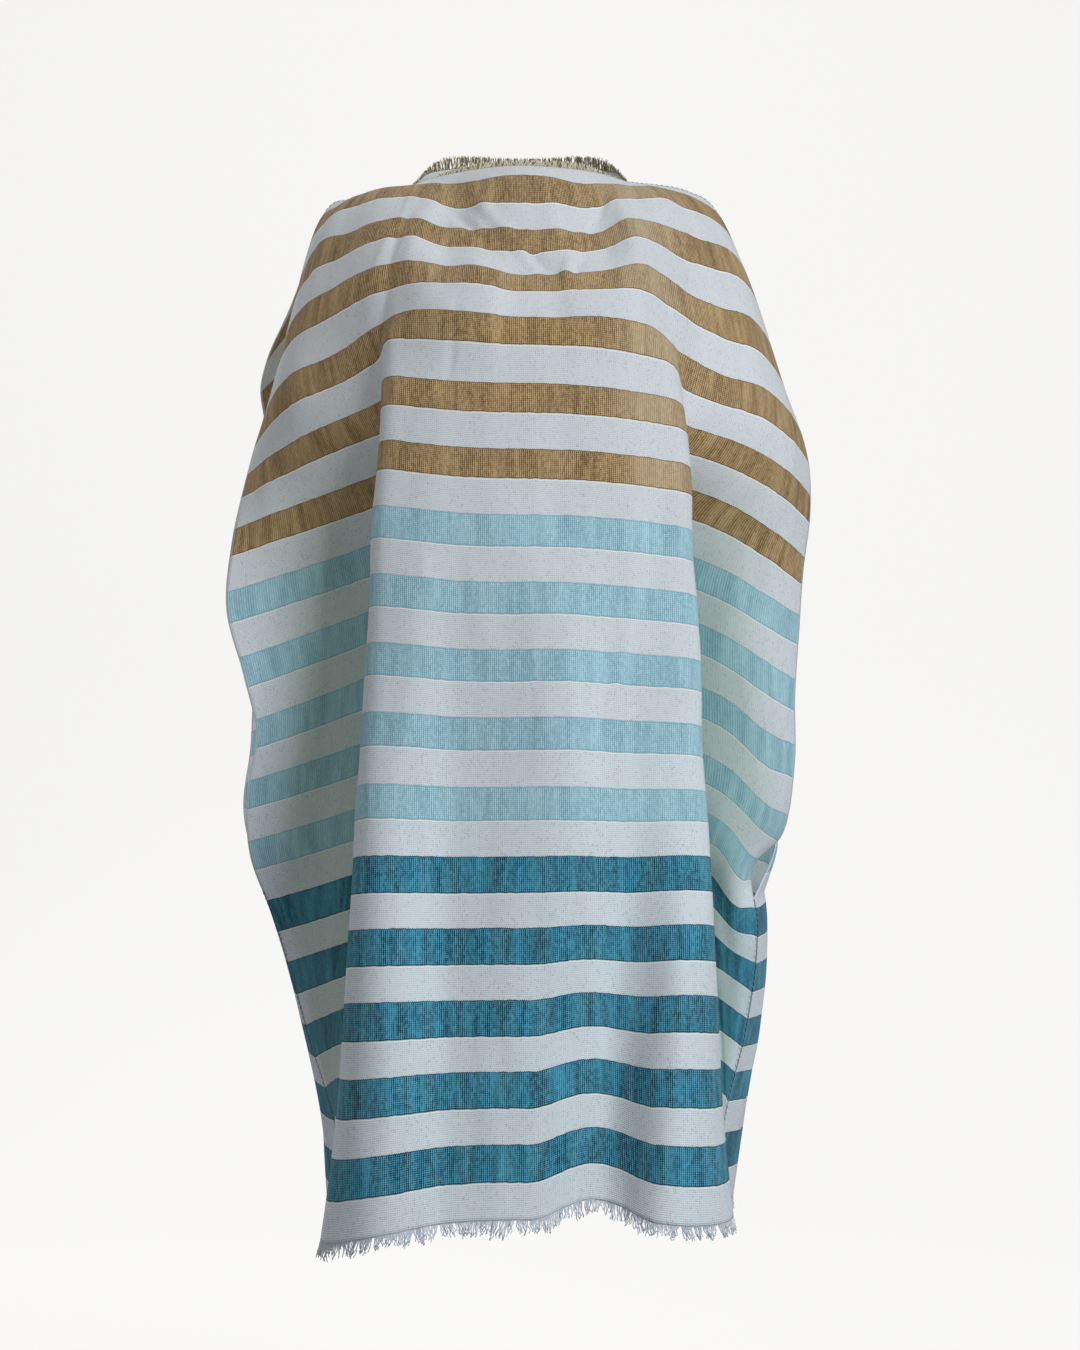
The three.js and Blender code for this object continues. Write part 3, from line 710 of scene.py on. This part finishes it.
# Where each dye starts down the cloth, the width of its stripes, its colour between the warp
# ribs and along them, and the colour that the white yarn beside it takes on.
DYES = table(("down", "width", "gaps", "ribs", "white"), [
    (0, 31.5, (0.14, 0.077, 0.025), (0.69, 0.475, 0.24), (0.84, 0.86, 0.88)),  # tan
    (430, 33.5, (0.23, 0.43, 0.52), (0.56, 0.84, 0.92), (0.84, 0.88, 0.9)),  # light blue
    (780, 36.0, (0.004, 0.036, 0.06), (0.115, 0.48, 0.66), (0.86, 0.94, 0.99)),  # teal
])
TAN, LIGHT_BLUE, TEAL = DYES


def dye_along(tree, down, column, steps):
    """One of the columns of colours of the dyes, along the cloth."""
    ramp = tree.nodes.new("ShaderNodeValToRGB")
    ramp.color_ramp.interpolation = steps
    stops = ramp.color_ramp.elements
    stops[0].color = (*TAN[column], 1)
    stops[1].position = LIGHT_BLUE["down"] / PANEL_LENGTH
    stops[1].color = (*LIGHT_BLUE[column], 1)
    last = stops.new(TEAL["down"] / PANEL_LENGTH)
    last.color = (*TEAL[column], 1)
    tree.links.new(work_out(tree, "DIVIDE", down, PANEL_LENGTH), ramp.inputs[0])
    return ramp.outputs[0]


def cloth_material(name, seed, painted_light_shade_share):
    """The striped cotton; the third argument is how much of the front panel's painted light and painted
    shade it shows, from 0 to 1.
    """
    material = paint(name, (0.78, 0.8, 0.82), 0.95)
    tree = material.node_tree
    shader = tree.nodes["Principled BSDF"]
    shader.inputs["Sheen Weight"].default_value = 0.12
    shader.inputs["Sheen Roughness"].default_value = 0.6

    metres_across, metres_down = read_map(tree, "cloth")
    across = work_out(tree, "MULTIPLY", metres_across, 1 / MM)
    straight = work_out(tree, "MULTIPLY", metres_down, 1 / MM)
    beat = unevenness(tree, across, straight, 9.0, 60.0, seed)
    down = work_out(tree, "ADD", straight, work_out(tree, "MULTIPLY_ADD", beat, 0.9, -0.45))

    wide = unevenness(tree, across, down, 34.0, 260.0, seed + 3.0)
    narrow = unevenness(tree, across, down, 8.0, 70.0, seed + 5.0)
    mottle = unevenness(tree, across, down, 5.0, 7.0, seed + 7.0, 3.0)

    # Warp ribs, the short lengths of thread that show along them, and weft lines.
    sway = work_out(tree, "MULTIPLY", mottle, 0.14)
    rib_at = work_out(tree, "ADD", work_out(tree, "DIVIDE", across, RIB_PITCH), sway)
    rib = wave(tree, rib_at)
    dash_at = work_out(tree, "MULTIPLY", rib_at, RIB_PITCH)
    dash = thread_chance(tree, dash_at, down, RIB_PITCH, 3.4, seed)
    beaten = work_out(tree, "MULTIPLY", mottle, 0.16)
    weft_at = work_out(tree, "ADD", work_out(tree, "DIVIDE", down, WEFT_PITCH), beaten)
    weft = wave(tree, weft_at)
    # The threads stand out less on the wings, which hang slack.
    away = work_out(tree, "ABSOLUTE", across)
    slack = held(tree, work_out(tree, "MULTIPLY_ADD", away, 0.02, -4.0))
    depth = work_out(tree, "MULTIPLY_ADD", wide, -0.55, 1.1)
    depth = work_out(tree, "MULTIPLY", depth, work_out(tree, "MULTIPLY_ADD", slack, -0.5, 1.0))
    grain = work_out(tree, "SUBTRACT", rib, 0.5)
    grain = work_out(tree, "ADD", grain, work_out(tree, "MULTIPLY_ADD", weft, 0.6, -0.3))
    grain = work_out(tree, "ADD", grain, work_out(tree, "MULTIPLY_ADD", dash, 0.5, -0.25))
    tone = work_out(tree, "MULTIPLY_ADD", grain, depth, 0.36)
    tone = work_out(tree, "ADD", tone, work_out(tree, "MULTIPLY_ADD", wide, 0.3, -0.05))
    tone = work_out(tree, "ADD", tone, work_out(tree, "MULTIPLY_ADD", narrow, 0.5, -0.23))
    deep = dye_along(tree, down, "gaps", "CONSTANT")
    dyed = blend_colours(tree, held(tree, tone), deep, dye_along(tree, down, "ribs", "CONSTANT"))

    # Painted light: the tan is made paler in a band at the right of the breast, where the cloth turns
    # back and faces the light.
    painted_tan_light = work_out(tree, "ABSOLUTE", work_out(tree, "SUBTRACT", across, PAINTED_LIGHT_AT))
    painted_tan_light = work_out(tree, "MULTIPLY_ADD", painted_tan_light, -0.022, 1.3)
    painted_tan_light = work_out(tree, "MULTIPLY", painted_tan_light, work_out(tree, "MULTIPLY_ADD", wide, 0.6, 0.6))
    in_tan = work_out(tree, "LESS_THAN", down, LIGHT_BLUE["down"])
    painted_tan_light = work_out(tree, "MULTIPLY", held(tree, painted_tan_light), in_tan)
    dyed = blend_colours(tree, work_out(tree, "MULTIPLY", painted_tan_light, 0.3 * painted_light_shade_share), dyed, (0.82, 0.7, 0.52))

    # The white stripes: faint weft lines, a fainter warp, and grey slubs.
    speck = thread_chance(tree, across, down, 1.1, 2.2, seed + 11.0)
    slub = work_out(tree, "GREATER_THAN", speck, 0.95)
    pale = work_out(tree, "MULTIPLY_ADD", weft, 0.34, 0.2)
    pale = work_out(tree, "ADD", pale, work_out(tree, "MULTIPLY", rib, 0.26))
    pale = work_out(tree, "ADD", pale, work_out(tree, "MULTIPLY", wide, 0.25))
    pale = work_out(tree, "ADD", pale, work_out(tree, "MULTIPLY", mottle, 0.2))
    pale = work_out(tree, "SUBTRACT", pale, work_out(tree, "MULTIPLY", slub, 0.45))
    tinted = dye_along(tree, down, "white", "LINEAR")
    white = blend_colours(tree, held(tree, pale), (0.56, 0.58, 0.6), tinted)

    # A stripe starts with a thin dark line and ends with another, above a thin bright one.
    turns = work_out(tree, "DIVIDE", work_out(tree, "SUBTRACT", down, STRIPE_MIDDLE), STRIPE_PERIOD)
    part_turn = work_out(tree, "FRACT", work_out(tree, "ADD", turns, 0.5))
    from_middle = work_out(tree, "SUBTRACT", part_turn, 0.5)
    offset = work_out(tree, "MULTIPLY", from_middle, STRIPE_PERIOD)
    half_width = TAN["width"] / 2
    for before, dye in ((TAN, LIGHT_BLUE), (LIGHT_BLUE, TEAL)):
        begun = work_out(tree, "GREATER_THAN", down, dye["down"])
        wider = (dye["width"] - before["width"]) / 2
        half_width = work_out(tree, "MULTIPLY_ADD", begun, wider, half_width)
    above = work_out(tree, "ADD", offset, half_width)
    above = work_out(tree, "ADD", above, work_out(tree, "MULTIPLY_ADD", rib, 0.8, -0.4))
    below = work_out(tree, "SUBTRACT", half_width, offset)
    started = work_out(tree, "GREATER_THAN", above, 0.0)
    unfinished = work_out(tree, "GREATER_THAN", below, 0.0)
    above_hem = work_out(tree, "LESS_THAN", down, PANEL_LENGTH - HEM_WHITE)
    coloured = work_out(tree, "MULTIPLY", work_out(tree, "MULTIPLY", started, unfinished), above_hem)
    cloth = blend_colours(tree, coloured, white, dyed)
    start_line = work_out(tree, "COMPARE", above, 0.6, 0.6)
    end_line = work_out(tree, "COMPARE", below, 0.7, 0.7)
    lines = work_out(tree, "MULTIPLY", work_out(tree, "MAXIMUM", start_line, end_line), above_hem)
    shadow = work_out(tree, "MULTIPLY", lines, 0.6)
    edged = blend_colours(tree, shadow, cloth, deep)
    bright = work_out(tree, "COMPARE", below, -0.8, 0.8)
    edged = blend_colours(tree, work_out(tree, "MULTIPLY", bright, 0.85), edged, (0.97, 0.96, 0.93))

    # The selvedge shows pale along the armholes. Down the side seams a dark line is painted as the
    # shade in the groove where the panels meet.
    inside = work_out(tree, "SUBTRACT", HALF_WIDTH, away)
    open_edge = work_out(tree, "LESS_THAN", down, ARMHOLE_DEPTH)
    selvedge = work_out(tree, "MULTIPLY", work_out(tree, "LESS_THAN", inside, SELVEDGE), open_edge)
    selvedge = work_out(tree, "MULTIPLY", selvedge, 0.55)
    edged = blend_colours(tree, selvedge, edged, (0.84, 0.86, 0.86))
    painted_seam_shade = work_out(tree, "GREATER_THAN", work_out(tree, "LESS_THAN", inside, SEAM_SHADE_WIDTH), open_edge)
    edged = blend_colours(tree, work_out(tree, "MULTIPLY", painted_seam_shade, 0.75), edged, deep)

    # Painted shade: the cloth is darkened and made greener where the wings fold in behind the creases,
    # below the armholes, and less on the coloured stripes.
    painted_fold_shade = work_out(tree, "ABSOLUTE", work_out(tree, "SUBTRACT", away, PAINTED_SHADE_AT))
    painted_fold_shade = work_out(tree, "MAXIMUM", work_out(tree, "MULTIPLY_ADD", painted_fold_shade, -0.017, 1.4), 0.0)
    below_arm = work_out(tree, "MAXIMUM", work_out(tree, "MULTIPLY_ADD", down, 0.004, -1.1), 0.0)
    painted_fold_shade = work_out(tree, "MINIMUM", work_out(tree, "MULTIPLY", painted_fold_shade, below_arm), 1.0)
    taken = work_out(tree, "MULTIPLY_ADD", coloured, -0.2 * painted_light_shade_share, painted_light_shade_share)
    painted_fold_shade = work_out(tree, "MULTIPLY", painted_fold_shade, taken)
    fold_shaded_colour = blend_colours(tree, painted_fold_shade, edged, (0.73, 0.79, 0.7), "MULTIPLY")
    tree.links.new(fold_shaded_colour, shader.inputs["Base Color"])

    # The weave stands up a little along its ribs and lines.
    raised = blend_colours(tree, coloured, weft, rib)
    relief = tree.nodes.new("ShaderNodeBump")
    relief.inputs["Strength"].default_value = 0.55
    relief.inputs["Distance"].default_value = 0.0004
    tree.links.new(raised, relief.inputs["Height"])
    tree.links.new(relief.outputs[0], shader.inputs["Normal"])
    return material


def make_piece(name, points, faces, map_name, first, second, cotton):
    """A smooth mesh, from millimetres. Its map holds two values at each point."""
    mesh = bpy.data.meshes.new(name)
    mesh.from_pydata((points * MM).tolist(), [], faces)
    corners = np.empty(len(mesh.loops), dtype=np.int32)
    mesh.loops.foreach_get("vertex_index", corners)
    values = np.stack((first[corners], second[corners]), axis=1)
    mesh.uv_layers.new(name=map_name).data.foreach_set("uv", values.reshape(-1))
    mesh.shade_smooth()
    mesh.materials.append(cotton)
    piece = bpy.data.objects.new(name, mesh)
    scene.collection.objects.link(piece)
    return piece


def make_panel(name, outer, inner, facing, cotton):
    """One panel as a closed thin sheet, with its own width and length as its map."""
    rows, columns = outer.shape[:2]
    points = np.concatenate((outer.reshape(-1, 3), inner.reshape(-1, 3)))
    at = np.arange(rows * columns).reshape(rows, columns)
    under = at + rows * columns
    fronts = np.stack((at[:-1, :-1], at[:-1, 1:], at[1:, 1:], at[1:, :-1]), axis=-1)
    backs = np.stack((under[:-1, :-1], under[1:, :-1], under[1:, 1:], under[:-1, 1:]), axis=-1)
    rim = np.concatenate((at[0, :-1], at[:-1, -1], at[-1, :0:-1], at[:0:-1, 0]))
    after = np.roll(rim, -1)
    sides = np.stack((after, rim, rim + rows * columns, after + rows * columns), axis=-1)
    faces = np.concatenate((fronts.reshape(-1, 4), backs.reshape(-1, 4), sides))
    if facing < 0:
        faces = faces[:, ::-1]
    across = np.tile(grid_across.reshape(-1), 2) * MM
    down = np.tile(grid_down.reshape(-1), 2) * MM
    return make_piece(name, points, faces.tolist(), "cloth", across, down, cotton)


front_cotton = cloth_material("striped_cotton_front", 1.0, 1.0)
front_cloth = make_panel("front_cloth", front_outer, front_inner, -1, front_cotton)
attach(front_cloth, "root")
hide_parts("front_panel")

back_cotton = cloth_material("striped_cotton_back", 21.0, 0.0)
back_cloth = make_panel("back_cloth", back_outer, back_inner, 1, back_cotton)
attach(back_cloth, "root")
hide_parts("back_panel")


# ---- The fringes ----
# The ends of the warp, left free at the hem and along the neck slit. Those at the hem are
# crimped from the weave and clump in short tufts. Those at the neck stand and cross.

STRAND_SIDES = 5
ROOTED = 1.2  # how far a strand starts inside the weave


def spin(name, paths, radius, tip, tones, cotton):
    """Round strands joined in one mesh, one along each path, narrowing to `tip` of its radius."""
    count, rings = paths.shape[:2]
    along = unit(np.gradient(paths, axis=1))
    side = unit(np.cross(along, (0.31, 0.9, 0.3)))
    up = np.cross(along, side)
    turns = np.arange(STRAND_SIDES) * math.tau / STRAND_SIDES
    round_it = side[:, :, None] * np.cos(turns)[:, None] + up[:, :, None] * np.sin(turns)[:, None]
    reach = radius * np.linspace(1, tip, rings)
    points = paths[:, :, None] + round_it * reach[:, None, None]
    at = np.arange(count * rings * STRAND_SIDES).reshape(count, rings, STRAND_SIDES)
    over = np.roll(at, -1, axis=2)
    walls = np.stack((at[:, :-1], over[:, :-1], over[:, 1:], at[:, 1:]), axis=-1).reshape(-1, 4)
    faces = walls.tolist() + at[:, 0, ::-1].tolist() + at[:, -1].tolist()
    tone = np.repeat(tones, rings * STRAND_SIDES)
    height = np.tile(np.repeat(np.linspace(0, 1, rings), STRAND_SIDES), count)
    strands = make_piece(name, points.reshape(-1, 3), faces, "strand", tone, height, cotton)
    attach(strands, "root")
    return strands


def strand_material(name, dark, pale):
    """Cotton yarn. Each strand has its own tone between two colours, and painted shade draws it towards
    the dark one near its root.
    """
    material = paint(name, pale, 0.95)
    tree = material.node_tree
    own_tone, height = read_map(tree, "strand")
    # Painted shade: near its root a strand's tone is drawn towards the dark colour.
    free = work_out(tree, "MINIMUM", work_out(tree, "MULTIPLY_ADD", height, 1.2, 0.55), 1.0)
    colour = blend_colours(tree, work_out(tree, "MULTIPLY", own_tone, free), dark, pale)
    tree.links.new(colour, tree.nodes["Principled BSDF"].inputs["Base Color"])
    return material


def along_edge(values, edge_across, across):
    """The values at each point of an edge of the cloth, read at other distances across it."""
    return np.stack([np.interp(across, edge_across, values[:, axis]) for axis in range(3)], axis=1)


def hem_paths(grid, out, seed):
    """The strands of a hem: where each runs, in tufts with a gap after each."""
    dice = np.random.default_rng(seed)
    rows = []
    start = 1.5 - HALF_WIDTH
    while start < HALF_WIDTH - 3:
        width = min(dice.uniform(5, 13), HALF_WIDTH - 1 - start)
        count = max(int(width / 0.95), 3)
        reach = dice.uniform(13, 19)
        lean = dice.uniform(-0.4, 0.4)
        gather = dice.uniform(-0.5, 0.2)
        for place in np.linspace(-0.5, 0.5, count):
            shift = place * width + dice.uniform(-0.4, 0.4)
            length = reach * dice.uniform(0.62, 1) * (1 - 0.5 * place * place)
            pull = gather * shift / length
            rows.append((start + width / 2 + shift, length, lean, pull, dice.uniform(0, 9)))
        start += width + dice.uniform(0.4, 3.6)
    across, length, lean, pull, phase = np.array(rows).T[:, :, None]
    edge = grid[-1] - out[-1] * WALL / 2
    root = along_edge(edge, grid_across[-1], across[:, 0])[:, None]
    fall = unit(along_edge(grid[-1] - grid[-5], grid_across[-1], across[:, 0]))[:, None]
    level = unit(along_edge(np.gradient(edge, axis=0), grid_across[-1], across[:, 0]))[:, None]
    forth = np.cross(fall, level)
    free = np.linspace(0, 1, 8)[None]
    crimp = dice.uniform(0.5, 1.7, across.shape)
    down = free * (length + ROOTED) - ROOTED
    sideways = free * length * (lean + pull * free + dice.uniform(-0.12, 0.12, across.shape))
    sideways = sideways + crimp * free * np.sin(phase + 9 * free)
    curl = length * free**2 * dice.uniform(-0.2, 0.2, across.shape)
    forward = crimp * free * np.cos(1.7 * phase + 6 * free) + curl
    paths = root + fall * down[..., None] + level * sideways[..., None] + forth * forward[..., None]
    return paths, dice.uniform(0, 1, len(paths))


def neck_paths(grid, out, seed):
    """The strands of a neck edge: pale ones that lean and cross, and dark ones behind them, painted
    shade standing for the dark hollow between the strands.
    """
    dice = np.random.default_rng(seed)
    across = np.arange(2 - HALF_SLIT, HALF_SLIT - 2, 0.8)[:, None]
    dark = (np.arange(len(across)) % 2)[:, None]
    across = across + dice.uniform(-0.5, 0.5, across.shape)
    lean = dice.uniform(-0.9, 0.9, across.shape) * (1 - 0.4 * dark)
    length = dice.uniform(14.5, 16, across.shape) - 0.8 * dark
    length = length * np.clip((HALF_SLIT - np.abs(across)) / 70, 0.22, 1)
    edge = grid[0] - out[0] * WALL / 2
    root = along_edge(edge, grid_across[0], across[:, 0])[:, None]
    rise = unit(along_edge(grid[0] - grid[4], grid_across[0], across[:, 0]))[:, None]
    level = unit(along_edge(np.gradient(edge, axis=0), grid_across[0], across[:, 0]))[:, None]
    inwards = -along_edge(out[0], grid_across[0], across[:, 0])[:, None]
    free = np.linspace(0, 1, 7)[None]
    up = free * (length + ROOTED) - ROOTED
    sideways = free * length * lean * (1 - 0.35 * free) + 0.5 * free * np.sin(9 * lean + 8 * free)
    inward = free * (1.1 * dark + dice.uniform(-0.9, 0.9, across.shape)) + 0.4 * np.sin(5 * free) * free
    paths = root + rise * up[..., None] + level * sideways[..., None] + inwards * inward[..., None]
    return paths, (1 - dark[:, 0]) * 0.72 + dice.uniform(0, 0.25, len(paths))


# The hem yarn's blue-grey is painted shade: each strand takes a random tone between it and white, and
# more of it near its root.
hem_cotton = strand_material("hem_yarn", (0.58, 0.66, 0.76), (0.97, 0.98, 1.0))
# The neck yarn's dark colour is painted shade, on the dark strands and at the roots of the pale ones.
neck_cotton = strand_material("neck_yarn", (0.22, 0.19, 0.11), (0.86, 0.79, 0.62))
for side, grid, out, cloth, seed in (
    ("front", front_grid, front_out, front_cloth, 11),
    ("back", back_grid, back_out, back_cloth, 31),
):
    hem, hem_tones = hem_paths(grid, out, seed)
    hem_fringe = spin("hem_strands_" + side, hem, 0.72, 0.6, hem_tones, hem_cotton)
    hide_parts("hem_fringe_" + side)
    neck, neck_tones = neck_paths(grid, out, seed + 5)
    neck_fringe = spin("neck_strands_" + side, neck, 0.65, 0.85, neck_tones, neck_cotton)
    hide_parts("neck_fringe_" + side)


# ---- The stitches ----
# Cotton thread whipped over the edges of both panels, along the shoulders and below the
# armholes, one turn every 6 mm.

STITCH_PITCH = 6
STITCH_BITE = 2.6  # how far inside the edges the thread goes through the cloth
THREAD_RADIUS = 0.34

turns = []
for line, within_line in seam_lines:
    seam = front_grid[line]
    crest = seam + unit(front_out[line] + back_out[line]) * 0.45
    run = np.concatenate(((0,), np.cumsum(np.linalg.norm(np.diff(seam, axis=0), axis=1))))
    middles = np.arange(STITCH_PITCH / 2, run[-1], STITCH_PITCH)
    feet = []
    for grid, out in ((front_grid, front_out), (back_grid, back_out)):
        bite = unit(grid[within_line] - seam) * STITCH_BITE
        feet.append((seam + bite - out[line] * 0.5, seam + bite * 0.8 + out[line] * 0.4))
    # Each turn slants along the seam as it goes over.
    bends = (
        (feet[0][0], -1.4), (feet[0][1], -1.1), (crest, 0), (feet[1][1], 1.1), (feet[1][0], 1.4),
    )
    turns.append(np.stack([along_edge(place, run, middles + slip) for place, slip in bends], axis=1))
stitch_paths = np.concatenate(turns)
stitch_tones = np.random.default_rng(3).uniform(0.2, 0.8, len(stitch_paths))
seam_thread = strand_material("seam_thread", (0.16, 0.24, 0.28), (0.56, 0.62, 0.64))
stitches = spin("seam_stitches", stitch_paths, THREAD_RADIUS, 1, stitch_tones, seam_thread)
